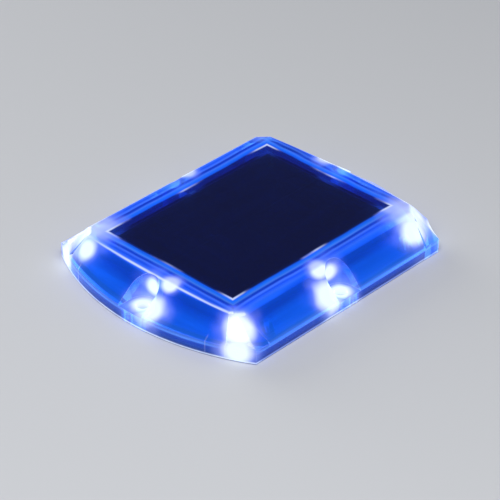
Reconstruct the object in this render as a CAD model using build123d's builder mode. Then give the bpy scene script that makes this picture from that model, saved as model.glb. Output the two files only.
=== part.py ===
"""Solar raised pavement marker: a clear sloped housing over a solar panel, eight LEDs and their circuit.

Millimetres.  The origin is the middle of the resting face, +X runs to one bulged end, +Y to one straight
side and +Z is up.
"""
import math
import os

from build123d import *

os.makedirs("parts", exist_ok=True)

# --- Driving dimensions of the housing -----------------------------------------------------------------
width = 100.0  # across the straight sides
corner_length = 100.2  # corner to corner along a straight side
end_bulge = 13.4  # how far a curved end stands out past its corners
height = 15.8
side_wall_height = 4.2  # upright wall under a straight side's slope
end_wall_height = 5.7  # upright wall under a curved end and at the corners
side_slope_run = 10.7  # straight side in to the flat top, before its edge is rounded
end_slope_run = 13.6  # curved end's tip in to the flat top
top_end_sag = 0.5  # the top's end edges are almost straight
top_round = 4.0
facet_low = (7.0, 10.0)  # corner facet's ends at the wall's top, in from the corner along X and Y
facet_top = (3.9, 14.4)  # and at the flat top
corner_crest = 8.5  # height over which a corner block tapers up into its facet
crest_size = (2.3, 2.0)  # half the size of what is left of the block there, along X and Y
block_end_rise = 2.1  # how much higher the block stands at the curved end

# --- Screw pockets ---------------------------------------------------------------------------------------
pocket_radius = 5.8
side_pocket_inset = 4.8  # pocket centre, in from the straight side
end_pocket_inset = 6.7  # pocket centre, in from the curved end's tip
side_pocket_floor = 4.2
end_pocket_floor = 4.9
pocket_draft = 2.0  # degrees
pocket_wall = 2.0  # clear wall between a pocket and the cavity
mount_hole_radius = 2.5

# --- Cavity and base -------------------------------------------------------------------------------------
side_inset = 4.8  # cavity inside the straight side, at the base
end_inset = 5.9  # cavity inside the curved end
top_thickness = 4.0
cavity_top_end_sag = 3.4
cavity_facet_low = (7.1, 8.5)  # cavity's corner facet at the base, in from the housing's corner
cavity_facet_top = (6.5, 15.4)  # and at the roof
plate_recess = 0.6  # the base plate sits this far above the resting face
plate_thickness = 1.6
gasket_thickness = 0.5
plate_lap = 2.0  # base plate past the cavity's edge
plate_clearance = 0.2
rib_pitch = 9.0  # keying ribs under the base plate
rib_width = 1.2
rib_height = 0.4

# --- Screws ----------------------------------------------------------------------------------------------
screw_radius = 1.0
screw_clearance = 0.05
screw_head_radius = 1.9
screw_cross = (2.0, 0.34, 0.5)  # cross recess: length, width and depth
base_screw_inset = (5.0, 2.6)  # in from the end of the cavity's straight side, and from that side
base_screw_length = 6.0
boss_radius = 2.7
boss_height = 5.6
board_screw_inset = 7.5  # in from the panel's edges
board_screw_length = 2.8
board_screw_head = 1.1
board_screw_round = 0.55
post_radius = 3.0

# --- Circuit board, tray and LEDs ------------------------------------------------------------------------
tray_thickness = 0.8
tray_clearance = 0.4
board_gap = 1.6  # circuit board to the pocket walls
board_corner = 5.0
board_thickness = 1.0
board_level = 5.2  # underside of the circuit board
led_radius = 1.5
led_length = 5.3
led_tip_flat = 0.06  # radius of the flat left at the dome's end
led_flange = 0.2  # flange outside the barrel
led_flange_thickness = 0.9
led_gap = 0.4  # LED tip to the cavity's wall
led_leg = 0.5
led_leg_reach = 1.0
led_leg_pitch = 1.4
corner_led_inset = 2.6  # tip of a corner LED, in from the circuit board's edges

# --- Panel -----------------------------------------------------------------------------------------------
panel_rim = (7.8, 8.45)  # panel's edge in from the flat top's edge, along X and Y
panel_board_thickness = 1.2
cell_thickness = 0.2
ribbon_thickness = 0.1
film_thickness = 0.3
bond_gap = 0.3  # bead between the film and the housing's roof
bead_width = 1.4
cell_count = 6  # strips side by side along the panel
cell_gap = 0.4
cell_margin = 1.2
ribbon_width = 0.5
ribbon_y = 3.2
frame_wall = 1.5
frame_gap = (1.0, 0.65)  # spacer frame inside the side LEDs' legs, along X and Y
frame_corner = 5.0

# --- Battery, switch and circuit pieces ------------------------------------------------------------------
battery_length = 40.0
battery_width = 30.0
battery_gap = 0.3  # battery to the panel above it
battery_round = 0.8
battery_corner = 1.6
battery_x = -10.0
tape_margin = 2.0
tape_thickness = 0.3
wire_radius = 0.5
wire_bend = 0.9
wire_height = 1.8  # wire's run above the circuit board
battery_lead_y = 3.0
battery_lead_run = 5.0
panel_lead_inset = 6.1  # in from the panel's end
panel_lead_y = 8.0
panel_lead_run = 8.0
button_x = 24.0
button_radius = 4.0
button_clearance = 0.3
button_recess = 0.3  # button face above the base plate's outer face
button_round = 0.5
button_lip = 1.2  # flange outside the button
button_flange_thickness = 0.6
button_flange_gap = 0.2
button_stem_radius = 1.5
button_stem_height = 0.4
dome_radius = 3.0
dome_height = 0.6
dome_rim = 0.12  # upright rim round the dome

# --- Charge and drive circuit, places on the board -------------------------------------------------------
chip_x = 30.0
chip_size = (5.0, 4.0, 1.5)
chip_pin = 0.4
chip_pins = 4  # on each side
chip_pin_pitch = 1.27
chip_pin_reach = 1.0
inductor_spot = (22.0, 17.0)
inductor_radius = 2.9
inductor_height = 2.8
inductor_flange = 0.5
inductor_waist = 0.7  # winding's waist inside the flanges
capacitor_spot = (22.0, -17.0)
capacitor_radius = 2.0
capacitor_height = 2.9
capacitor_round = 0.3
capacitor_foot = (4.3, 0.4)  # square foot and its height
diode_spot = (16.0, 11.0)
diode_size = (3.6, 2.6, 1.3)
diode_pad = (4.6, 0.3)  # pads' overall length and height
resistor_size = (2.0, 1.25, 0.5)
resistor_pitch = (2.8, 2.4)
resistor_inset = 3.0  # in from the panel leads
resistor_y = 18.0

# --- Sizes that follow -----------------------------------------------------------------------------------
half_width = width / 2
half_corner = corner_length / 2
tip = half_corner + end_bulge
half_top_width = half_width - side_slope_run
half_top_length = tip - end_slope_run
ridge_low = (half_corner - facet_low[0], half_width - facet_low[1])
ridge_top = (half_corner - facet_top[0], half_width - facet_top[1])
cavity_ridge_low = (half_corner - cavity_facet_low[0], half_width - cavity_facet_low[1])
cavity_ridge_top = (half_corner - cavity_facet_top[0], half_width - cavity_facet_top[1])
end_radius = (half_width**2 + end_bulge**2) / (2 * end_bulge)
ridge_low_end = tip - end_radius + math.sqrt(end_radius**2 - ridge_low[1] ** 2)
side_rise = (height - side_wall_height) / side_slope_run
shoulder = (end_wall_height - side_wall_height) / side_rise  # slope's run below the end wall's top
facet_foot = ((ridge_low[0] + ridge_low_end) / 2, (half_width - shoulder + ridge_low[1]) / 2)
facet_head = ((ridge_top[0] + half_top_length - top_end_sag) / 2, (half_top_width + ridge_top[1]) / 2)
crest_share = corner_crest / (height - end_wall_height)
crest_x, crest_y = (foot + crest_share * (head - foot) for foot, head in zip(facet_foot, facet_head))
block_foot = [
    (half_corner, half_width),
    (ridge_low[0], half_width),
    (ridge_low[0], ridge_low[1]),
    (ridge_low_end, ridge_low[1]),
]
block_head = [
    (crest_x, crest_y),
    (crest_x - crest_size[0], crest_y + crest_size[1]),
    (crest_x - crest_size[0], crest_y - crest_size[1]),
    (crest_x + crest_size[0], crest_y - crest_size[1]),
]
side_pocket_y = half_width - side_pocket_inset
end_pocket_x = tip - end_pocket_inset
plate_bottom = plate_recess
plate_top = plate_bottom + plate_thickness
ledge = plate_top + gasket_thickness
roof = height - top_thickness
cavity_half_width = half_width - side_inset
cavity_tip = tip - end_inset
roof_side_slope = half_top_width + (height - roof) / side_rise
roof_half_width = roof_side_slope - side_inset
roof_tip = half_top_length + end_slope_run * top_thickness / (height - end_wall_height) - end_inset
board_top = board_level + board_thickness
under_board = board_level - plate_top
side_reach = side_pocket_y - pocket_radius - pocket_wall
end_reach = end_pocket_x - pocket_radius - pocket_wall
board_length = 2 * (end_reach - board_gap)
board_width = 2 * (side_reach - board_gap)
panel_length = 2 * (half_top_length - panel_rim[0])
panel_width = 2 * (half_top_width - panel_rim[1])
panel_lead_x = panel_length / 2 - panel_lead_inset
led_flange_radius = led_radius + led_flange
button_flange_radius = button_radius + button_lip
film_top = roof - bond_gap
film_bottom = film_top - film_thickness
cell_top = film_bottom - ribbon_thickness
cell_bottom = cell_top - cell_thickness
panel_board_bottom = cell_bottom - panel_board_thickness
led_height = (board_top + panel_board_bottom) / 2
side_holes = [(0, side * side_pocket_y) for side in (-1, 1)]
end_holes = [(side * end_pocket_x, 0) for side in (-1, 1)]
corners = [(x, y) for x in (-1, 1) for y in (-1, 1)]
base_screw_x = cavity_ridge_low[0] - base_screw_inset[0]
base_screw_y = cavity_half_width - base_screw_inset[1]
base_screw_spots = [(x * base_screw_x, y * base_screw_y) for x, y in corners]
board_screw_x = panel_length / 2 - board_screw_inset
board_screw_y = panel_width / 2 - board_screw_inset
board_screw_spots = [(x * board_screw_x, y * board_screw_y) for x, y in corners]
side_led_reach = side_reach - led_gap
end_led_reach = end_reach - led_gap
corner_led_tip = (board_length / 2 - corner_led_inset, board_width / 2 - corner_led_inset)
frame_length = 2 * (end_led_reach - led_length - led_leg_reach - frame_gap[0])
frame_width = 2 * (side_led_reach - led_length - led_leg_reach - frame_gap[1])


def plan(tip_x, half_y, radius, ridge):
    """Outline with curved ends and cut corners; ridge is X on the straight side and Y on the end."""
    side_x, end_y = ridge
    end_x = tip_x - radius + math.sqrt(radius**2 - end_y**2)
    with BuildSketch() as outline:
        with BuildLine():
            for side in (-1, 1):
                ThreePointArc((side * end_x, -end_y), (side * tip_x, 0), (side * end_x, end_y))
                Line((-side_x, side * half_y), (side_x, side * half_y))
                for end in (-1, 1):
                    Line((end * side_x, side * half_y), (end * end_x, side * end_y))
        make_face()
    return outline.sketch


def arc_radius(half_chord, sag):
    """Radius of an arc from its half chord and its height."""
    return (half_chord**2 + sag**2) / (2 * sag)


def cavity_plan(margin=0):
    """Cavity's outline at the ledge, round the four pocket walls, carried outward by the margin."""
    with BuildSketch() as outline:
        add(plan(cavity_tip, cavity_half_width, end_radius - end_inset, cavity_ridge_low))
        with Locations(*side_holes, *end_holes):
            Circle(pocket_radius + pocket_wall, mode=Mode.SUBTRACT)
        if margin:
            offset(amount=margin, kind=Kind.INTERSECTION)
    return outline.sketch


# --- Clear housing ---------------------------------------------------------------------------------------
with BuildPart() as clear_housing:
    with BuildSketch():
        with BuildLine():
            for side in (-1, 1):
                ThreePointArc(
                    (side * half_corner, -half_width), (side * tip, 0), (side * half_corner, half_width)
                )
                Line((-half_corner, side * half_width), (half_corner, side * half_width))
        make_face()
    extrude(amount=end_wall_height)
    # the slopes come down past the end wall's top between the corner blocks
    for side in (-1, 1):
        with BuildSketch(Plane.YZ):
            with BuildLine():
                Polyline(
                    (side * half_width, side_wall_height),
                    (side * half_width, end_wall_height),
                    (side * (half_width - shoulder), end_wall_height),
                    close=True,
                )
            make_face()
        extrude(amount=ridge_low[0], both=True, mode=Mode.SUBTRACT)
    with BuildSketch(Plane.XY.offset(end_wall_height)):
        add(plan(tip, half_width - shoulder, end_radius, ridge_low))
    with BuildSketch(Plane.XY.offset(height)):
        top_end_radius = arc_radius(ridge_top[1], top_end_sag)
        add(plan(half_top_length, half_top_width, top_end_radius, ridge_top))
    loft(ruled=True)
    fillet(clear_housing.faces().sort_by(Axis.Z)[-1].edges(), radius=top_round)
    # each corner block tapers up into the middle of its facet, its curved end's edge upright at first
    block_share = block_end_rise / corner_crest
    block_middle = [
        tuple(low + block_share * (high - low) for low, high in zip(foot, head))
        for foot, head in zip(block_foot[:3], block_head[:3])
    ]
    for x, y in corners:
        for rise, outline in (
            (0, block_foot),
            (block_end_rise, [*block_middle, block_foot[3]]),
            (corner_crest, block_head),
        ):
            with BuildSketch(Plane.XY.offset(end_wall_height + rise)):
                with BuildLine():
                    Polyline(*[(x * spot_x, y * spot_y) for spot_x, spot_y in outline], close=True)
                make_face()
        loft(ruled=True)
    # screw pockets: a round back with straight cheeks, open to the outside
    for floor, spots, way, reach in (
        (side_pocket_floor, side_holes, (0, 1), side_pocket_inset),
        (end_pocket_floor, end_holes, (1, 0), end_pocket_inset),
    ):
        for x, y in spots:
            outward = Vector(*way) * (1 if x + y > 0 else -1)
            mouth = Plane((x, y, floor), x_dir=(outward.X, outward.Y, 0))
            with BuildSketch(mouth):
                Circle(pocket_radius)
                with Locations((reach, 0)):
                    Rectangle(2 * reach, 2 * pocket_radius)
            extrude(amount=height, taper=-pocket_draft, mode=Mode.SUBTRACT)
    # seat of the base plate
    with BuildSketch():
        add(cavity_plan(plate_lap + plate_clearance))
    extrude(amount=ledge, mode=Mode.SUBTRACT)

# --- Cavity, narrowing up to its roof, with the pocket walls and screw bosses left standing --------------
with BuildPart(mode=Mode.PRIVATE) as cavity:
    with BuildSketch(Plane.XY.offset(ledge)):
        add(plan(cavity_tip, cavity_half_width, end_radius - end_inset, cavity_ridge_low))
    with BuildSketch(Plane.XY.offset(roof)):
        roof_radius = arc_radius(cavity_ridge_top[1], cavity_top_end_sag)
        add(plan(roof_tip, roof_half_width, roof_radius, cavity_ridge_top))
    loft(ruled=True)
    with BuildSketch(Plane.XY.offset(ledge)):
        with Locations(*side_holes, *end_holes):
            Circle(pocket_radius + pocket_wall)
    extrude(amount=roof - ledge, taper=-pocket_draft, mode=Mode.SUBTRACT)
    with BuildSketch(Plane.XY.offset(ledge)):
        with Locations(*base_screw_spots):
            Circle(boss_radius)
    extrude(amount=boss_height, mode=Mode.SUBTRACT)
with clear_housing:
    add(cavity.part, mode=Mode.SUBTRACT)
    with Locations((0, 0, height / 2)):
        with Locations(*side_holes, *end_holes):
            Hole(mount_hole_radius, depth=height)
    with BuildSketch(Plane.XY.offset(ledge)):
        with Locations(*base_screw_spots):
            Circle(screw_radius + screw_clearance)
    extrude(amount=base_screw_length - plate_thickness, mode=Mode.SUBTRACT)
clear_housing.part.label = "clear_housing"
export_step(clear_housing.part, "parts/clear_housing.step")

# --- Base plate, with keying ribs inside its recess ------------------------------------------------------
with BuildPart() as base_plate:
    with BuildSketch(Plane.XY.offset(plate_bottom)):
        add(cavity_plan(plate_lap))
        with Locations((button_x, 0)):
            Circle(button_radius + button_clearance, mode=Mode.SUBTRACT)
    extrude(amount=plate_thickness)
    with BuildSketch(Plane.XY.offset(plate_bottom)) as ribs:
        rib_columns = 2 * int(cavity_tip / rib_pitch) + 1
        rib_rows = 2 * int(cavity_half_width / rib_pitch) + 1
        with GridLocations(rib_pitch, rib_pitch, rib_columns, 1):
            Rectangle(rib_width, width)
        with GridLocations(rib_pitch, rib_pitch, 1, rib_rows):
            Rectangle(2 * tip, rib_width)
        add(cavity_plan(-rib_width), mode=Mode.INTERSECT)
        with Locations((button_x, 0)):
            Circle(button_radius + 2 * rib_width, mode=Mode.SUBTRACT)
        with Locations(*base_screw_spots):
            Circle(screw_head_radius + rib_width, mode=Mode.SUBTRACT)
    extrude(amount=-rib_height)
    with BuildSketch(Plane.XY.offset(plate_bottom)):
        with Locations(*base_screw_spots):
            Circle(screw_radius + screw_clearance)
    extrude(amount=plate_thickness, mode=Mode.SUBTRACT)
    for x, y in base_screw_spots:
        with BuildSketch(Plane((x, y, plate_bottom))):
            Circle(screw_head_radius + screw_clearance)
        with BuildSketch(Plane((x, y, plate_bottom + screw_head_radius - screw_radius))):
            Circle(screw_radius + screw_clearance)
        loft(mode=Mode.SUBTRACT)
base_plate.part.label = "base_plate"
export_step(base_plate.part, "parts/base_plate.step")

# --- Gasket between the base plate and the housing's ledge -----------------------------------------------
with BuildPart() as base_gasket:
    with BuildSketch(Plane.XY.offset(plate_top)):
        add(cavity_plan(plate_lap))
        add(cavity_plan(), mode=Mode.SUBTRACT)
        with Locations(*base_screw_spots):
            Circle(boss_radius)
            Circle(screw_radius + screw_clearance, mode=Mode.SUBTRACT)
    extrude(amount=gasket_thickness)
base_gasket.part.label = "base_gasket"
export_step(base_gasket.part, "parts/base_gasket.step")

# --- Base screws, countersunk, from below ----------------------------------------------------------------
with BuildPart() as base_screws:
    for x, y in base_screw_spots:
        with BuildSketch(Plane((x, y, plate_bottom))):
            Circle(screw_head_radius)
        with BuildSketch(Plane((x, y, plate_bottom + screw_head_radius - screw_radius))):
            Circle(screw_radius)
        loft()
        with BuildSketch(Plane((x, y, plate_bottom))):
            Circle(screw_radius)
        extrude(amount=base_screw_length)
        for turn in (0, 90):
            with BuildSketch(Plane((x, y, plate_bottom))):
                Rectangle(screw_cross[0], screw_cross[1], rotation=turn)
            extrude(amount=screw_cross[2], mode=Mode.SUBTRACT)
base_screws.part.label = "base_screws"
export_step(base_screws.part, "parts/base_screws.step")

# --- Reflector tray on the base plate, with posts for the circuit board ----------------------------------
with BuildPart() as reflector_tray:
    with BuildSketch(Plane.XY.offset(plate_top)):
        add(cavity_plan(-tray_clearance))
        with Locations(*base_screw_spots):
            Circle(boss_radius + tray_clearance, mode=Mode.SUBTRACT)
        with Locations((button_x, 0)):
            Circle(button_flange_radius + button_clearance, mode=Mode.SUBTRACT)
    extrude(amount=tray_thickness)
    with BuildSketch(Plane.XY.offset(plate_top + tray_thickness)):
        with Locations(*board_screw_spots):
            Circle(post_radius)
    extrude(amount=under_board - tray_thickness)
    with BuildSketch(Plane.XY.offset(board_level)):
        with Locations(*board_screw_spots):
            Circle(screw_radius + screw_clearance)
    extrude(amount=board_thickness - board_screw_length - screw_clearance, mode=Mode.SUBTRACT)
reflector_tray.part.label = "reflector_tray"
export_step(reflector_tray.part, "parts/reflector_tray.step")

# --- Circuit board and its screws ------------------------------------------------------------------------
with BuildPart() as circuit_board:
    with BuildSketch(Plane.XY.offset(board_level)) as board_face:
        Rectangle(board_length, board_width)
        chamfer(board_face.vertices(), length=board_corner)
        with Locations(*board_screw_spots):
            Circle(screw_radius + 2 * screw_clearance, mode=Mode.SUBTRACT)
    extrude(amount=board_thickness)
circuit_board.part.label = "circuit_board"
export_step(circuit_board.part, "parts/circuit_board.step")

with BuildPart() as board_screws:
    with BuildSketch(Plane.XY.offset(board_top)):
        with Locations(*board_screw_spots):
            Circle(screw_head_radius)
    extrude(amount=board_screw_head)
    fillet(board_screws.faces().group_by(Axis.Z)[-1].edges(), radius=board_screw_round)
    with BuildSketch(Plane.XY.offset(board_top)):
        with Locations(*board_screw_spots):
            Circle(screw_radius)
    extrude(amount=-board_screw_length)
    for turn in (0, 90):
        with BuildSketch(Plane.XY.offset(board_top + board_screw_head)):
            with Locations(*board_screw_spots):
                Rectangle(screw_cross[0], screw_cross[1], rotation=turn)
        extrude(amount=-screw_cross[2], mode=Mode.SUBTRACT)
board_screws.part.label = "board_screws"
export_step(board_screws.part, "parts/board_screws.step")


# --- LEDs, lying flat on the board and pointing out ------------------------------------------------------
def led(tip_spot, direction):
    """One LED: flange, barrel and dome along the direction, its dome's end at the tip spot."""
    x, y = tip_spot
    towards = Vector(*direction).normalized()
    base = Plane((x, y, led_height), z_dir=towards).offset(-led_length)
    with BuildPart() as one:
        with BuildSketch(base):
            Circle(led_flange_radius)
        extrude(amount=led_flange_thickness)
        with BuildSketch(base):
            Circle(led_radius)
        extrude(amount=led_length)
        dome_end = one.faces().sort_by(Axis((x, y, led_height), tuple(towards)))[-1]
        fillet(dome_end.edges(), radius=led_radius - led_tip_flat)
    return one.part


def legs(tip_spot, direction):
    """The two legs of one LED: straight back out of its base and down to the board."""
    x, y = tip_spot
    towards = Vector(*direction).normalized()
    base = Plane((x, y, led_height), x_dir=towards.cross(Vector(0, 0, 1)), z_dir=towards).offset(-led_length)
    with BuildPart() as pair:
        with BuildSketch(base):
            with GridLocations(led_leg_pitch, 0, 2, 1):
                Rectangle(led_leg, led_leg)
        extrude(amount=-led_leg_reach)
        with BuildSketch(Plane((x, y, board_top), x_dir=base.x_dir)):
            with Locations((0, -led_length - led_leg_reach + led_leg / 2)):
                with GridLocations(led_leg_pitch, 0, 2, 1):
                    Rectangle(led_leg, led_leg)
        extrude(amount=led_height + led_leg / 2 - board_top)
    return pair.part


side_led_spots = [((0, side * side_led_reach), (0, side, 0)) for side in (-1, 1)]
side_led_spots += [((side * end_led_reach, 0), (side, 0, 0)) for side in (-1, 1)]
corner_led_spots = [((x * corner_led_tip[0], y * corner_led_tip[1]), (x, y, 0)) for x, y in corners]
with BuildPart() as corner_leds:
    add([led(*spot) for spot in corner_led_spots])
with BuildPart() as side_leds:
    add([led(*spot) for spot in side_led_spots])
with BuildPart() as led_legs:
    add([legs(*spot) for spot in corner_led_spots + side_led_spots])
for name, leds in (("corner_leds", corner_leds), ("side_leds", side_leds), ("led_legs", led_legs)):
    leds.part.label = name
    export_step(leds.part, f"parts/{name}.step")

# --- Spacer frame between the circuit board and the panel ------------------------------------------------
with BuildPart() as spacer_frame:
    with BuildSketch(Plane.XY.offset(board_top)) as frame_face:
        Rectangle(frame_length, frame_width)
        chamfer(frame_face.vertices(), length=frame_corner)
        offset(amount=-frame_wall, kind=Kind.INTERSECTION, mode=Mode.SUBTRACT)
    extrude(amount=panel_board_bottom - board_top)
spacer_frame.part.label = "spacer_frame"
export_step(spacer_frame.part, "parts/spacer_frame.step")

# --- Solar panel: board, cells, ribbons, clear film and the bead that bonds it under the roof -------------
cell_length = (panel_length - 2 * cell_margin - (cell_count - 1) * cell_gap) / cell_count
cell_width = panel_width - 2 * cell_margin
with BuildPart() as panel_board:
    with BuildSketch(Plane.XY.offset(panel_board_bottom)):
        Rectangle(panel_length, panel_width)
    extrude(amount=panel_board_thickness)
with BuildPart() as solar_cells:
    with BuildSketch(Plane.XY.offset(cell_bottom)):
        with GridLocations(cell_length + cell_gap, 0, cell_count, 1):
            Rectangle(cell_length, cell_width)
    extrude(amount=cell_thickness)
with BuildPart() as cell_ribbon:
    with BuildSketch(Plane.XY.offset(cell_top)):
        with Locations((0, ribbon_y)):
            Rectangle(panel_length - 2 * cell_margin, ribbon_width)
    extrude(amount=ribbon_thickness)
with BuildPart() as panel_film:
    with BuildSketch(Plane.XY.offset(film_bottom)):
        Rectangle(panel_length, panel_width)
    extrude(amount=film_thickness)
with BuildPart() as panel_bead:
    with BuildSketch(Plane.XY.offset(film_top)):
        Rectangle(panel_length, panel_width)
        Rectangle(panel_length - 2 * bead_width, panel_width - 2 * bead_width, mode=Mode.SUBTRACT)
    extrude(amount=bond_gap)
for name, layer in (
    ("panel_board", panel_board),
    ("solar_cells", solar_cells),
    ("cell_ribbon", cell_ribbon),
    ("panel_film", panel_film),
    ("panel_bead", panel_bead),
):
    layer.part.label = name
    export_step(layer.part, f"parts/{name}.step")

# --- Battery and its tape --------------------------------------------------------------------------------
with BuildPart() as battery_tape:
    with BuildSketch(Plane.XY.offset(board_top)):
        with Locations((battery_x, 0)):
            Rectangle(battery_length - 2 * tape_margin, battery_width - 2 * tape_margin)
    extrude(amount=tape_thickness)
battery_tape.part.label = "battery_tape"
export_step(battery_tape.part, "parts/battery_tape.step")

with BuildPart() as battery_cell:
    with BuildSketch(Plane.XY.offset(board_top + tape_thickness)):
        with Locations((battery_x, 0)):
            RectangleRounded(battery_length, battery_width, battery_corner)
    extrude(amount=panel_board_bottom - battery_gap - board_top - tape_thickness)
    fillet(battery_cell.faces().filter_by(Axis.Z).edges(), radius=battery_round)
battery_cell.part.label = "battery_cell"
export_step(battery_cell.part, "parts/battery_cell.step")


# --- Wires held inside, each from its piece down to the board ---------------------------------------------
def wire(points):
    """One insulated wire along straight runs joined by bends."""
    with BuildPart() as lead:
        with BuildLine() as route:
            FilletPolyline(*points, radius=wire_bend)
        with BuildSketch(Plane(points[0], z_dir=Vector(*points[1]) - Vector(*points[0]))):
            Circle(wire_radius)
        sweep(path=route.wires()[0])
    return lead.part


battery_end = battery_x + battery_length / 2
run = board_top + wire_height
for side, colour in ((1, "red"), (-1, "black")):
    battery_y = side * battery_lead_y
    panel_y = side * panel_lead_y
    battery_route = [
        (battery_end, battery_y, run),
        (battery_end + battery_lead_run, battery_y, run),
        (battery_end + battery_lead_run, battery_y, board_top),
    ]
    panel_route = [
        (panel_lead_x, panel_y, panel_board_bottom),
        (panel_lead_x, panel_y, run),
        (panel_lead_x - panel_lead_run, panel_y, run),
        (panel_lead_x - panel_lead_run, panel_y, board_top),
    ]
    for name, points in (("battery_lead", battery_route), ("panel_lead", panel_route)):
        lead = wire(points)
        lead.label = f"{name}_{colour}"
        export_step(lead, f"parts/{name}_{colour}.step")

# --- Charge and drive circuit ----------------------------------------------------------------------------
with BuildPart() as control_chip:
    with BuildSketch(Plane.XY.offset(board_top + chip_pin / 2)):
        with Locations((chip_x, 0)):
            Rectangle(chip_size[0], chip_size[1])
    extrude(amount=chip_size[2])
    with BuildSketch(Plane.XY.offset(board_top)):
        with Locations((chip_x, 0)):
            with GridLocations(chip_pin_pitch, 0, chip_pins, 1):
                Rectangle(chip_pin, chip_size[1] + 2 * chip_pin_reach)
    extrude(amount=2 * chip_pin)

with BuildPart() as inductor:
    with BuildSketch(Plane.XY.offset(board_top)):
        with Locations(inductor_spot):
            Circle(inductor_radius)
    extrude(amount=inductor_height)
    with BuildSketch(Plane.XY.offset(board_top + inductor_flange)):
        with Locations(inductor_spot):
            Circle(inductor_radius)
            Circle(inductor_radius - inductor_waist, mode=Mode.SUBTRACT)
    extrude(amount=inductor_height - 2 * inductor_flange, mode=Mode.SUBTRACT)

with BuildPart() as capacitor:
    with BuildSketch(Plane.XY.offset(board_top)):
        with Locations(capacitor_spot):
            Rectangle(capacitor_foot[0], capacitor_foot[0])
    extrude(amount=capacitor_foot[1])
    with BuildSketch(Plane.XY.offset(board_top)):
        with Locations(capacitor_spot):
            Circle(capacitor_radius)
    extrude(amount=capacitor_height)
    fillet(capacitor.faces().sort_by(Axis.Z)[-1].edges(), radius=capacitor_round)

with BuildPart() as diode:
    with BuildSketch(Plane.XY.offset(board_top)):
        with Locations(diode_spot):
            Rectangle(diode_pad[0], diode_size[1])
    extrude(amount=diode_pad[1])
    with BuildSketch(Plane.XY.offset(board_top)):
        with Locations(diode_spot):
            Rectangle(diode_size[0], diode_size[1])
    extrude(amount=diode_size[2])

with BuildPart() as resistors:
    with BuildSketch(Plane.XY.offset(board_top)):
        with Locations((panel_lead_x - resistor_inset, 0)):
            with GridLocations(0, 2 * resistor_y, 1, 2):
                with GridLocations(resistor_pitch[0], resistor_pitch[1], 2, 2):
                    Rectangle(resistor_size[0], resistor_size[1])
    extrude(amount=resistor_size[2])
for name, piece in (
    ("control_chip", control_chip),
    ("inductor", inductor),
    ("capacitor", capacitor),
    ("diode", diode),
    ("resistors", resistors),
):
    piece.part.label = name
    export_step(piece.part, f"parts/{name}.step")

# --- Push button in the base and the snap dome that it presses --------------------------------------------
with BuildPart() as switch_dome:
    with BuildSketch(Plane.XY.offset(board_level)):
        with Locations((button_x, 0)):
            Circle(dome_radius)
    extrude(amount=-dome_height)
    fillet(switch_dome.faces().sort_by(Axis.Z)[0].edges(), radius=dome_height - dome_rim)
switch_dome.part.label = "switch_dome"
export_step(switch_dome.part, "parts/switch_dome.step")

button_face = plate_bottom + button_recess
button_flange = plate_top + button_flange_gap
with BuildPart() as switch_button:
    with BuildSketch(Plane.XY.offset(button_face)):
        with Locations((button_x, 0)):
            Circle(button_radius)
    extrude(amount=button_flange - button_face)
    fillet(switch_button.faces().sort_by(Axis.Z)[0].edges(), radius=button_round)
    with BuildSketch(Plane.XY.offset(button_flange)):
        with Locations((button_x, 0)):
            Circle(button_flange_radius)
    extrude(amount=button_flange_thickness)
    with BuildSketch(Plane.XY.offset(button_flange + button_flange_thickness)):
        with Locations((button_x, 0)):
            Circle(button_stem_radius)
    extrude(amount=button_stem_height)
switch_button.part.label = "switch_button"
export_step(switch_button.part, "parts/switch_button.step")
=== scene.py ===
"""Looks of the raised pavement marker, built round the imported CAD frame.

Metres, in the CAD's own frame: +X to one curved end, +Y to one straight side, +Z up.
"""
import math
from functools import reduce

import bpy
from mathutils import Matrix, Vector

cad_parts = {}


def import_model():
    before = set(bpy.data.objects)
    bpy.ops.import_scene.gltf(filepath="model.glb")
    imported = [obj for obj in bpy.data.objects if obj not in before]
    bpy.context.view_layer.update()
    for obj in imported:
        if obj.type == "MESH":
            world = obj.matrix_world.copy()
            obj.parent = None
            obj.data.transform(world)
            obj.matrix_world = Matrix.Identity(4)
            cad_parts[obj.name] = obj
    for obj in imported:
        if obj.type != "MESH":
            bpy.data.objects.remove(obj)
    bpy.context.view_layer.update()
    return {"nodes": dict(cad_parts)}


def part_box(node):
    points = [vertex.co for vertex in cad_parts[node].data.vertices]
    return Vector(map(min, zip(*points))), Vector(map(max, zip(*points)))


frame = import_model()

# --- Colours, linear; the first three paint the lamps' glow onto the clear skin ---
HALO_BLUE = (0.10, 0.20, 0.96)
HOT_WHITE = (0.80, 0.90, 1.0)
LAVENDER = (0.36, 0.42, 1.0)
GLASS_TINT = (0.004, 0.04, 0.26)
GLASS_TINT_DEEP = (0.002, 0.03, 0.21)

# --- Where the painted lamp glow sits, from the CAD boxes ---
MM = 0.001
PANEL_HIGH = Vector(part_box("panel_board")[1])
HOUSING_HIGH = Vector(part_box("clear_housing")[1])


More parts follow.
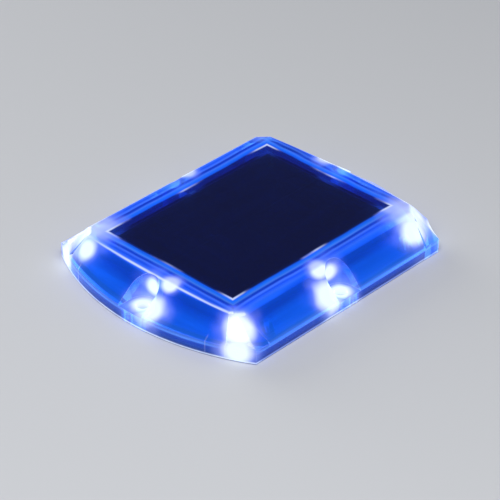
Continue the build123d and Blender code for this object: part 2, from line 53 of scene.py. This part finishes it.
def lamp_spots():
    """Centres of the painted glow where X and Y are positive: over the lamps, and at the lamps' images
    in the clear skin.
    """
    end_x, side_y = HOUSING_HIGH.x, HOUSING_HIGH.y
    low, high = (Vector(corner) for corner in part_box("side_leds"))
    level = (low.z + high.z) / 2
    spots = {
        "corner": (end_x - 0.0190, side_y - 0.0125, 0.0090),
        "corner_facet": (end_x - 0.0138, side_y - 0.0085, 0.0105),
        "corner_side": (end_x - 0.0220, side_y - 0.0058, 0.0105),
        "corner_end": (end_x - 0.0110, side_y - 0.0166, 0.0115),
        "corner_foot": (end_x - 0.0112, side_y - 0.0066, 0.0044),
        "end": (high.x + MM, 0, level + 2 * MM),
        "side": (0, high.y + MM, level + 2 * MM),
        "end_floor": (end_x - 0.0067, 0, 0.0049),
        "side_floor": (0, side_y - 0.0048, 0.0042),
        "end_cheek": (end_x - 0.0045, 0.0072, 0.0072),
        "side_cheek": (0.0088, side_y - 0.0030, 0.0072),
        "end_top": (end_x - 0.0127, 0.0085, 0.0150),
        "side_top": (0.0068, side_y - 0.0100, 0.0148),
    }
    return {name: Vector(spot) for name, spot in spots.items()}


SPOTS = lamp_spots()
# how far the hot centre of each spot's painted glow reaches, on every side of the housing
HOT_REACH = {
    "corner_foot": 0.0075,
    "end": 0.0050,
    "side": 0.0050,
    "end_floor": 0.0066,
    "side_floor": 0.0062,
}
HALO_REACH = {
    "corner_foot": 0.014,
    "end": 0.011,
    "side": 0.011,
    "end_floor": 0.012,
    "side_floor": 0.011,
}
# painted images of the lamps that show only where X and Y have the same sign, and only where they differ
SAME_SIGN_REACH = {
    "corner_facet": 0.0082,
    "end_cheek": 0.0080,
    "side_cheek": 0.0085,
    "end_top": 0.0048,
    "side_top": 0.0052,
}
OTHER_SIGN_REACH = {
    "corner": 0.0128,
    "corner_side": 0.0080,
    "corner_end": 0.0062,
}
# reaches of the painted strips of light beside the panel, of the painted glow on the white inner pieces,
# and of the lamps' own glow
PANEL_STRIP_REACH = {"corner": 0.017, "end": 0.013, "side": 0.013}
INNER_REACH = {"corner": 0.030, "end": 0.026, "side": 0.026}
LED_REACH = {"corner": 0.011, "end": 0.008, "side": 0.008}


# --- Shader building ---
class Shader:
    """A Principled material with short calls for its nodes. Sockets and plain values can be mixed."""

    def __init__(self, name, **constants):
        self.material = bpy.data.materials.new(name)
        self.material.use_nodes = True
        self.tree = self.material.node_tree
        self.principled = self.tree.nodes["Principled BSDF"]
        for socket, value in constants.items():
            self.set(socket.replace("_", " "), value)
        self.place = self.node("ShaderNodeTexCoord").outputs["Object"]
        self.spot_distances = {}

    def node(self, kind, **settings):
        made = self.tree.nodes.new(kind)
        for key, value in settings.items():
            setattr(made, key, value)
        return made

    def feed(self, socket, value):
        if isinstance(value, bpy.types.NodeSocket):
            self.tree.links.new(value, socket)
        elif isinstance(value, (tuple, Vector)) and socket.type == "RGBA":
            socket.default_value = (*value, 1.0)
        else:
            socket.default_value = value

    def set(self, name, value):
        self.feed(self.principled.inputs[name], value)

    def math(self, operation, a, b=0.0, c=0.0):
        made = self.node("ShaderNodeMath", operation=operation)
        for socket, value in zip(made.inputs, (a, b, c)):
            self.feed(socket, value)
        return made.outputs[0]

    def vector(self, operation, a, b=(0, 0, 0)):
        made = self.node("ShaderNodeVectorMath", operation=operation)
        self.feed(made.inputs[0], a)
        if operation == "SCALE":
            self.feed(made.inputs["Scale"], b)
        else:
            self.feed(made.inputs[1], b)
        return made.outputs["Value" if operation in ("DISTANCE", "DOT_PRODUCT") else 0]

    def parts(self, vector):
        made = self.node("ShaderNodeSeparateXYZ")
        self.feed(made.inputs[0], vector)
        return made.outputs

    def ramp(self, value, low, high, to_low=0.0, to_high=1.0, smooth=True):
        kind = "SMOOTHSTEP" if smooth else "LINEAR"
        made = self.node("ShaderNodeMapRange", interpolation_type=kind, clamp=True)
        for socket, entry in zip(made.inputs, (value, low, high, to_low, to_high)):
            self.feed(socket, entry)
        return made.outputs[0]

    def mix(self, factor, a, b):
        made = self.node("ShaderNodeMix", data_type="RGBA", clamp_factor=True)
        for index, value in ((0, factor), (6, a), (7, b)):
            self.feed(made.inputs[index], value)
        return made.outputs[2]

    def noise(self, scale, detail=2.0, rough=0.5, stretch=(1, 1, 1)):
        moved = self.vector("MULTIPLY", self.place, stretch)
        made = self.node("ShaderNodeTexNoise")
        settings = {"Vector": moved, "Scale": scale, "Detail": detail, "Roughness": rough}
        for name, value in settings.items():
            self.feed(made.inputs[name], value)
        return made.outputs["Fac"]

    def bump(self, height, distance, strength=1.0):
        made = self.node("ShaderNodeBump")
        for name, value in (("Height", height), ("Distance", distance), ("Strength", strength)):
            self.feed(made.inputs[name], value)
        self.set("Normal", made.outputs[0])

    def bands(self, value, stops):
        """Colour ramp over the stops' own range, given as (value, colour) pairs."""
        first, last = stops[0][0], stops[-1][0]
        made = self.node("ShaderNodeValToRGB")
        points = made.color_ramp.elements
        while len(points) < len(stops):
            points.new(0.5)
        for point, (at, colour) in zip(points, stops):
            point.position = (at - first) / (last - first)
        for point, (at, colour) in zip(points, stops):
            point.color = (*colour, 1.0)
        self.feed(made.inputs[0], self.ramp(value, first, last, smooth=False))
        return made.outputs[0]

    def line(self, value, at, half):
        """1 where the value is at its mark, falling to nothing at half the line's width."""
        away = self.math("ABSOLUTE", self.math("SUBTRACT", value, at))
        return self.ramp(away, 0.0, half, 1.0, 0.0)

    def most(self, *values):
        return reduce(lambda a, b: self.math("MAXIMUM", a, b), values)

    def times(self, *values):
        return reduce(lambda a, b: self.math("MULTIPLY", a, b), values)

    def spot_distance(self, name):
        """Distance from a named spot and its mirror images across X and Y, wavering a little."""
        if not self.spot_distances:
            self.folded = self.vector("ABSOLUTE", self.place)
            self.waver = self.ramp(self.noise(130, 1), 0.3, 0.7, 0.9, 1.1)
        if name not in self.spot_distances:
            away = self.vector("DISTANCE", self.folded, tuple(SPOTS[name]))
            self.spot_distances[name] = self.math("MULTIPLY", away, self.waver)
        return self.spot_distances[name]

    def glows(self, reaches, power=1.0, grow=1.0):
        """1 at the nearest named spot, falling to nothing at its reach."""
        falls = [
            self.ramp(self.spot_distance(name), 0.0, reach * grow, 1.0, 0.0, smooth=False)
            for name, reach in reaches.items()
        ]
        return self.most(*(self.math("POWER", fall, power) for fall in falls))


def dress(shader, *nodes):
    """Gives CAD nodes one material in all their slots."""
    for node in nodes:
        mesh = frame["nodes"][node].data
        mesh.materials.clear()
        mesh.materials.append(shader.material)


# --- Clear pieces ---
# painted light and shade across the top, as emission colour, by distance in millimetres out from the
# panel's edge
TOP_LIGHT_BANDS = [
    (-0.6, (0.0, 0.0, 0.0)),
    (0.9, (0.0, 0.004, 0.03)),
    (1.6, (0.003, 0.10, 0.78)),
    (2.6, (0.008, 0.16, 0.92)),
    (3.4, (0.05, 0.19, 0.88)),
    (4.1, (0.002, 0.05, 0.52)),
    (4.7, (0.001, 0.03, 0.38)),
    (5.6, (0.05, 0.17, 0.88)),
    (6.7, (0.004, 0.07, 0.72)),
    (8.0, (0.03, 0.15, 0.86)),
    (9.5, (0.012, 0.12, 0.70)),
]
# painted light and shade down the slopes and walls, as emission colour, by height in millimetres
SLOPE_LIGHT_BANDS = [
    (0.0, (0.10, 0.24, 0.82)),
    (0.45, (0.04, 0.13, 0.55)),
    (1.0, (0.001, 0.012, 0.13)),
    (2.6, (0.001, 0.045, 0.42)),
    (3.7, (0.003, 0.055, 0.52)),
    (4.15, (0.06, 0.22, 0.84)),
    (4.5, (0.08, 0.24, 0.86)),
    (5.6, (0.012, 0.12, 0.72)),
    (7.7, (0.003, 0.10, 0.66)),
    (10.0, (0.002, 0.085, 0.58)),
    (12.3, (0.001, 0.05, 0.38)),
    (14.3, (0.001, 0.055, 0.44)),
    (15.3, (0.01, 0.11, 0.66)),
]


# edges of the housing's regions, in millimetres
TOP_FROM = (15.1, 15.6)  # height over which the slopes give way to the top
POCKET_HALF = (6.0, 6.3)
END_POCKET_FROM = (48.0, 49.0)
SIDE_POCKET_FROM = (38.5, 39.5)
PARTITION_LINES = (32.5, 39.7)  # painted bright lines of faint lit walls near the corners, seen through the end walls
EDGE_LINE_RADIUS = 0.00024


def panel_strip(s):
    """How near a lamp is, for the painted strips of light beside the panel."""
    return s.glows(PANEL_STRIP_REACH)


def outer_skin(s, geometry, x, y):
    """1 on the outside and in the pockets, 0 on the cavity's skin."""
    flip = s.math("MULTIPLY_ADD", geometry.outputs["Backfacing"], -2.0, 1.0)
    outward = s.times(s.vector("DOT_PRODUCT", geometry.outputs["True Normal"], s.place), flip)
    half, past = POCKET_HALF
    end_pocket = s.times(s.ramp(y, past, half), s.ramp(x, *END_POCKET_FROM))
    side_pocket = s.times(s.ramp(x, past, half), s.ramp(y, *SIDE_POCKET_FROM))
    return s.most(s.ramp(outward, -0.0005, 0.0005), end_pocket, side_pocket)


def glow_layers(s, colour, z, out, on_top):
    """Paints halos, soft glows and hot spots of lamp light over the colour; gives it back with the halo
    and hot-spot masks.
    """
    same_sign = s.ramp(s.times(*s.parts(s.place)[:2]), 0.0, 2e-5)
    other_sign = s.math("SUBTRACT", 1.0, same_sign)

    def strongest(reaches, image_grow, power, grow=1.0):
        return s.most(
            s.glows(reaches, power, grow),
            s.times(s.glows(SAME_SIGN_REACH, power, image_grow), same_sign),
            s.times(s.glows(OTHER_SIGN_REACH, power, image_grow), other_sign),
        )

    # the panel keeps its glow to itself
    open_skin = s.math("SUBTRACT", 1.0, s.times(s.ramp(out, 1.0, 1.6, 1.0, 0.0), on_top))
    halo = s.times(s.ramp(strongest(HALO_REACH, 1.7, 1.4), 0.0, 0.8), open_skin)
    soft = s.times(s.ramp(strongest(HOT_REACH, 1.35, 1.2, 1.45), 0.0, 0.75), open_skin)
    hot = s.ramp(strongest(HOT_REACH, 1.0, 1.0), 0.06, 0.62)
    hot = s.times(hot, open_skin, s.ramp(z, 14.9, 15.7, 1.0, 0.45))
    colour = s.mix(halo, colour, HALO_BLUE)
    colour = s.mix(soft, colour, LAVENDER)
    return s.mix(hot, colour, HOT_WHITE), halo, hot


def line_layers(s, colour, geometry, x, y, z, out, on_top, along_end, streak, halo):
    """Painted bright lines of light along the foot, the slopes' tops, the panel, the partitions and the
    edges.
    """
    patch = s.ramp(s.noise(110, 3, 0.6), 0.35, 0.62, 0.25, 1.0)
    on_sides = s.ramp(halo, 0.0, 0.4, 0.35, 0.9)
    on_ends = s.ramp(patch, 0, 1, 0.7, 1.0)
    foot = s.times(s.line(z, 0.30, 0.85), s.ramp(along_end, 0, 1, on_sides, on_ends))
    brow = s.times(s.line(z, 15.1, 0.45), along_end, s.ramp(streak, 0.40, 0.60, 0.15, 0.9))
    beside = s.times(s.line(out, 1.0, 0.9), s.ramp(panel_strip(s), 0.05, 0.6), on_top)
    partition_glow = s.most(*(s.line(y, at, 0.40) for at in PARTITION_LINES))
    partition_glow = s.times(partition_glow, s.ramp(x, 54.0, 54.5), s.ramp(z, 8.0, 6.5), patch, 0.8)
    lines = s.most(foot, brow, beside, partition_glow)
    # painted highlight: edges catch the light in a thin line
    rounded = s.node("ShaderNodeBevel", samples=6)
    rounded.inputs["Radius"].default_value = EDGE_LINE_RADIUS
    turn = s.vector("DOT_PRODUCT", rounded.outputs[0], geometry.outputs["Normal"])
    edge_highlight = s.times(s.ramp(turn, 0.985, 0.88), s.ramp(s.noise(150, 2), 0.35, 0.60, 0.35, 1.0))
    line_colour = s.mix(s.most(halo, s.ramp(lines, 0.0, 0.6)), LAVENDER, HOT_WHITE)
    return s.mix(s.most(lines, edge_highlight), colour, line_colour)


def housing_material():
    """Clear polycarbonate, with the light of the lamps inside painted on as emission. The cavity's skin
    is satin, and its painted glow is dimmer than the outer one's.
    """
    s = Shader("clear_shell", IOR=1.45, Transmission_Weight=1.0)
    geometry = s.node("ShaderNodeNewGeometry")
    x, y, z = s.parts(s.vector("SCALE", s.vector("ABSOLUTE", s.place), 1 / MM))[:3]
    outer = outer_skin(s, geometry, x, y)
    speck = s.ramp(s.noise(900, 3), 0.35, 0.75, 0.0, 0.05)
    s.set("Roughness", s.math("ADD", s.ramp(outer, 0, 1, 0.20, 0.03), speck))
    s.set("Base Color", s.mix(s.noise(30, 2), GLASS_TINT, GLASS_TINT_DEEP))
    # painted bands of light and shade along the rim and the slopes, drawn out in streaks along each side
    out_x = s.math("SUBTRACT", x, PANEL_HIGH.x / MM)
    out_y = s.math("SUBTRACT", y, PANEL_HIGH.y / MM)
    along_end = s.math("GREATER_THAN", out_x, out_y)
    drift = s.ramp(s.noise(45, 2), 0.3, 0.7, -0.25, 0.25)
    out = s.math("ADD", s.most(out_x, out_y), drift)
    height = s.math("ADD", z, s.times(drift, s.ramp(z, 4.6, 6.0)))
    on_top = s.ramp(z, *TOP_FROM)
    painted_bands = s.mix(on_top, s.bands(height, SLOPE_LIGHT_BANDS), s.bands(out, TOP_LIGHT_BANDS))
    side_streak = s.noise(220, 3, 0.6, (0.05, 1, 1))
    end_streak = s.noise(220, 3, 0.6, (1, 0.05, 1))
    streak = s.mix(along_end, side_streak, end_streak)
    painted_bands = s.mix(s.ramp(streak, 0.42, 0.72, 0.0, 0.5), painted_bands, s.vector("SCALE", painted_bands, 1.5))
    colour, halo, hot = glow_layers(s, painted_bands, z, out, on_top)
    colour = line_layers(s, colour, geometry, x, y, z, out, on_top, along_end, streak, halo)
    s.set("Emission Color", colour)
    # painted glow strength: brighter at the hot spots, dimmed towards 0.15 on the underside and to 0.18
    # on the cavity's skin
    level = s.math("MULTIPLY_ADD", hot, 0.25, 0.85)
    underside = s.ramp(z, 0.05, 0.2, 0.15, 1.0)
    s.set("Emission Strength", s.times(level, underside, s.ramp(outer, 0, 1, 0.18, 1.0)))
    s.bump(s.noise(160, 3, 0.5), 0.00003, 0.5)
    return s


def film_material():
    s = Shader("clear_film", IOR=1.15, Transmission_Weight=1.0)
    s.set("Base Color", s.mix(s.noise(60), (0.42, 0.50, 0.80), (0.50, 0.58, 0.86)))
    s.set("Roughness", s.ramp(s.noise(700, 3), 0.3, 0.7, 0.06, 0.16))
    s.bump(s.noise(500, 2), 0.00001, 0.4)
    return s


def bead_material():
    s = Shader("clear_bead", IOR=1.45, Transmission_Weight=0.8)
    s.set("Base Color", s.mix(s.noise(120), (0.01, 0.03, 0.16), (0.02, 0.06, 0.28)))
    s.set("Roughness", s.ramp(s.noise(500, 2), 0.3, 0.7, 0.25, 0.45))
    # painted lamp light: the bead glows dark blue, and lavender in the strips beside the lamps
    strip = s.ramp(panel_strip(s), 0.10, 0.55)
    s.set("Emission Color", s.mix(strip, (0.0, 0.02, 0.20), (0.34, 0.46, 1.0)))
    s.set("Emission Strength", s.ramp(strip, 0, 1, 0.5, 0.9))
    s.bump(s.noise(300, 3), 0.00004, 0.6)
    return s


# --- Solar panel ---
def cell_material():
    """Near-black silicon: fine contact fingers across each strip, with rows of faint dots on them."""
    s = Shader("silicon", IOR=1.25)
    x, y = s.parts(s.place)[:2]
    finger = s.ramp(s.math("PINGPONG", y, 0.00065), 0.0, 0.00009, 1.0, 0.0)
    cross = s.ramp(s.math("PINGPONG", x, 0.00045), 0.0, 0.00022, 1.0, 0.0)
    dots = s.times(finger, cross)
    grain = s.noise(240, 4, 0.7, (1, 0.4, 1))
    base = s.mix(grain, (0.0006, 0.0016, 0.009), (0.0018, 0.0048, 0.024))
    base = s.mix(s.times(dots, 0.35), base, (0.02, 0.035, 0.09))
    s.set("Base Color", base)
    s.set("Roughness", s.ramp(s.noise(400, 3), 0.3, 0.7, 0.22, 0.38))
    # painted sheen: a faint blue glow over the silicon, brighter on the dots
    painted_sheen = s.mix(grain, (0.0, 0.0015, 0.012), (0.0, 0.003, 0.022))
    s.set("Emission Color", s.mix(dots, painted_sheen, (0.001, 0.008, 0.045)))
    s.set("Emission Strength", 1.0)
    s.bump(s.most(finger, grain), 0.00001, 0.4)
    return s


def board_dark_material():
    s = Shader("dark_board", IOR=1.5)
    threads = [s.math("PINGPONG", part, 0.0004) for part in s.parts(s.place)[:2]]
    weave = s.ramp(s.times(*threads), 0.0, 1.6e-7)
    s.set("Base Color", s.mix(weave, (0.0012, 0.0016, 0.006), (0.003, 0.004, 0.014)))
    s.set("Roughness", s.ramp(s.noise(300, 3), 0.3, 0.7, 0.35, 0.55))
    s.bump(weave, 0.00002, 0.4)
    return s


# --- Metals, boards and plastics ---
def metal_material(name, light, dark, rough, scale=400.0, stretch=(1, 1, 1)):
    """Brushed or tinned metal: fine grain, drawn out where it is stretched."""
    s = Shader(name, Metallic=1.0)
    grain = s.noise(scale, 4, 0.6, stretch)
    s.set("Base Color", s.mix(s.ramp(grain, 0.35, 0.7), light, dark))
    s.set("Roughness", s.ramp(s.noise(scale * 2, 3), 0.3, 0.7, *rough))
    s.bump(grain, 0.00001, 0.5)
    return s


def plastic_material(name, light, dark, rough, scale=700.0, lift=0.00002, marks=0.0):
    """Moulded plastic: fine spark-eroded texture, slow tone change and a few rubbed marks."""
    s = Shader(name, IOR=1.5)
    grain = s.noise(scale, 3, 0.6)
    tone = s.noise(40, 3)
    rub = s.ramp(s.noise(70, 5, 0.7, (1, 0.3, 1)), 0.60, 0.72)
    colour = s.mix(s.times(tone, 0.8), light, dark)
    rubbed = tuple(min(1.0, 1.9 * channel) for channel in light)
    s.set("Base Color", s.mix(s.times(rub, marks), colour, rubbed))
    s.set("Roughness", s.math("ADD", s.ramp(grain, 0.3, 0.7, *rough), s.times(rub, 0.1)))
    s.bump(grain, lift, 0.6)
    return s


def lit_white(name, light, dark, rough, level):
    """White inner piece, with the lamps' light painted on as emission, falling off across it."""
    s = plastic_material(name, light, dark, rough)
    near = s.glows(INNER_REACH, 1.6)
    s.set("Emission Color", s.mix(near, (0.001, 0.05, 0.42), (0.20, 0.32, 1.0)))
    s.set("Emission Strength", s.times(s.ramp(near, 0.0, 0.8, 0.5, 1.4), level))
    return s


def circuit_board_material():
    """White solder mask with the faint lines of the tracks under it."""
    # the lamps' light is painted on the board as emission, by lit_white
    s = lit_white("board_white", (0.74, 0.77, 0.80), (0.66, 0.69, 0.73), (0.22, 0.34), 0.45)
    y = s.parts(s.place)[1]
    bend = s.ramp(s.noise(35, 1), 0.4, 0.6, -0.002, 0.002)
    track = s.ramp(s.math("PINGPONG", s.math("ADD", y, bend), 0.0016), 0.0, 0.0003, 1.0, 0.0)
    s.bump(s.most(track, s.times(s.noise(800, 2), 0.2)), 0.00003, 0.8)
    return s


def led_material():
    """Clear blue epoxy lit from its die: hottest at its dome, bluer at its flange."""
    s = Shader("blue_led", IOR=1.5)
    heart = s.glows(LED_REACH)
    s.set("Base Color", s.mix(s.noise(300), (0.20, 0.35, 0.95), (0.28, 0.42, 1.0)))
    s.set("Roughness", s.ramp(s.noise(600), 0.3, 0.7, 0.08, 0.18))
    s.set("Emission Color", s.mix(heart, (0.05, 0.18, 1.0), (0.55, 0.72, 1.0)))
    s.set("Emission Strength", s.ramp(heart, 0.0, 0.8, 0.8, 2.0))
    return s


def foil_material():
    """Pouch cell: satin foil with soft dents and creases."""
    s = Shader("battery_foil", Metallic=1.0)
    dent = s.noise(90, 3, 0.5)
    crease = s.ramp(s.noise(160, 5, 0.7, (1, 0.35, 1)), 0.45, 0.6)
    s.set("Base Color", s.mix(dent, (0.60, 0.62, 0.65), (0.74, 0.75, 0.77)))
    s.set("Roughness", s.ramp(crease, 0.0, 1.0, 0.24, 0.42))
    s.bump(s.math("ADD", dent, s.times(crease, 0.3)), 0.00020, 0.7)
    return s


def ringed_material(name, light, dark, rough, pitch, metallic=0.0):
    """Fine rings up the piece: a winding, or turned metal."""
    s = Shader(name, Metallic=metallic)
    ring = s.ramp(s.math("PINGPONG", s.parts(s.place)[2], pitch), 0.0, pitch)
    tone = s.math("MULTIPLY_ADD", s.noise(300, 3), 0.4, s.times(ring, 0.6))
    s.set("Base Color", s.mix(tone, dark, light))
    s.set("Roughness", s.ramp(s.noise(500), 0.3, 0.7, *rough))
    s.bump(ring, pitch / 2, 0.7)
    return s


dress(housing_material(), "clear_housing")
dress(film_material(), "panel_film")
dress(bead_material(), "panel_bead")
dress(cell_material(), "solar_cells")
dress(board_dark_material(), "panel_board")
dress(led_material(), "corner_leds", "side_leds")
dress(circuit_board_material(), "circuit_board")
dress(foil_material(), "battery_cell")
# the lamps' light is painted on the tray and frame as emission, by lit_white
white = lit_white("white_plastic", (0.78, 0.80, 0.84), (0.70, 0.73, 0.79), (0.38, 0.55), 0.6)
dress(white, "reflector_tray", "spacer_frame")
tinned = metal_material("tinned", (0.58, 0.60, 0.64), (0.36, 0.38, 0.42), (0.28, 0.45))
dress(tinned, "cell_ribbon", "led_legs")
steel = metal_material(
    "screw_steel", (0.60, 0.60, 0.62), (0.40, 0.40, 0.42), (0.22, 0.38), 500.0, (1, 0.15, 1)
)
dress(steel, "base_screws", "board_screws", "switch_dome")
winding = ringed_material("ferrite", (0.30, 0.13, 0.05), (0.05, 0.035, 0.03), (0.35, 0.5), 0.00018)
dress(winding, "inductor")
can = ringed_material("can", (0.72, 0.73, 0.75), (0.55, 0.56, 0.58), (0.22, 0.35), 0.0006, 1.0)
dress(can, "capacitor")
# light tone, dark tone, roughness, grain scale, grain height, rubbed marks
PLASTICS = {
    "base_plastic": ((0.17, 0.185, 0.21), (0.11, 0.12, 0.14), (0.45, 0.62), 800, 0.00003, 0.35),
    "gasket_rubber": ((0.46, 0.49, 0.53), (0.36, 0.39, 0.43), (0.5, 0.68), 500, 0.00003),
    "button_rubber": ((0.055, 0.06, 0.07), (0.03, 0.033, 0.04), (0.55, 0.75), 900, 0.00003, 0.2),
    "tape": ((0.80, 0.80, 0.74), (0.68, 0.68, 0.62), (0.7, 0.85), 400, 0.00005),
    "wire_red": ((0.55, 0.025, 0.018), (0.42, 0.015, 0.012), (0.25, 0.4)),
    "wire_black": ((0.02, 0.02, 0.022), (0.012, 0.012, 0.014), (0.25, 0.4)),
    "chip_black": ((0.022, 0.022, 0.025), (0.012, 0.012, 0.014), (0.45, 0.6), 1200),
}
PLASTIC_NODES = {
    "base_plastic": ["base_plate"],
    "gasket_rubber": ["base_gasket"],
    "button_rubber": ["switch_button"],
    "tape": ["battery_tape"],
    "wire_red": ["battery_lead_red", "panel_lead_red"],
    "wire_black": ["battery_lead_black", "panel_lead_black"],
    "chip_black": ["control_chip", "diode", "resistors"],
}
for plastic, looks in PLASTICS.items():
    dress(plastic_material(plastic, *looks), *PLASTIC_NODES[plastic])

# --- Stage ---
CAMERA_AT = Vector((-0.5685, -0.5298, 0.5159))
CAMERA_ROLL = math.radians(0.55)
CAMERA_LENS = 178.5
CAMERA_SHIFT = (-0.0007, 0.0072)
FLOOR_SIZE = 6
FLOOR_BELOW = 0.0002  # keeps the floor clear of the resting face
# place, size and power
LAMPS = {
    "key": ((-0.5, -0.3, 0.9), 0.6, 7),
    "fill": ((-0.1, -0.4, 1.0), 0.8, 4),
    "rim": ((0.05, 1.0, 0.35), 0.6, 5),
    "under": ((0.1, -0.2, -0.9), 0.6, 6),
}


def camera():
    data = bpy.data.cameras.new("camera")
    data.lens = CAMERA_LENS
    data.sensor_width = 36.0
    data.shift_x, data.shift_y = CAMERA_SHIFT
    data.clip_end = 20
    eye = bpy.data.objects.new("camera", data)
    bpy.context.scene.collection.objects.link(eye)
    eye.location = CAMERA_AT
    turn = (-CAMERA_AT).to_track_quat("-Z", "Y").to_matrix().to_4x4()
    eye.rotation_euler = (turn @ Matrix.Rotation(CAMERA_ROLL, 4, "Z")).to_euler()
    bpy.context.scene.camera = eye


def floor():
    bpy.ops.mesh.primitive_plane_add(size=FLOOR_SIZE, location=(0, 0, -FLOOR_BELOW))
    plane = bpy.context.active_object
    plane.name = "floor"
    s = Shader("floor", Base_Color=(0.56, 0.57, 0.59), Roughness=0.7)
    # clear from below, and to the lamp under it
    clear = s.node("ShaderNodeBsdfTransparent")
    blend = s.node("ShaderNodeMixShader")
    behind = s.node("ShaderNodeNewGeometry").outputs["Backfacing"]
    shadow = s.node("ShaderNodeLightPath").outputs["Is Shadow Ray"]
    s.feed(blend.inputs[0], s.most(behind, shadow))
    s.feed(blend.inputs[1], s.principled.outputs[0])
    s.feed(blend.inputs[2], clear.outputs[0])
    s.feed(s.tree.nodes["Material Output"].inputs["Surface"], blend.outputs[0])
    plane.data.materials.append(s.material)


def lamp(name, place, size, power):
    data = bpy.data.lights.new(name, "AREA")
    data.shape = "SQUARE"
    data.size = size
    data.energy = power
    light = bpy.data.objects.new(name, data)
    bpy.context.scene.collection.objects.link(light)
    light.location = place
    light.rotation_euler = (-Vector(place)).to_track_quat("-Z", "Y").to_euler()


def world():
    studio = bpy.data.worlds.new("studio")
    bpy.context.scene.world = studio
    studio.use_nodes = True
    background = studio.node_tree.nodes["Background"]
    background.inputs["Color"].default_value = (0.80, 0.86, 1.0, 1)
    background.inputs["Strength"].default_value = 0.13


camera()
floor()
world()
for name, (place, size, power) in LAMPS.items():
    lamp(name, place, size, power)
bpy.context.scene.view_settings.view_transform = "Standard"
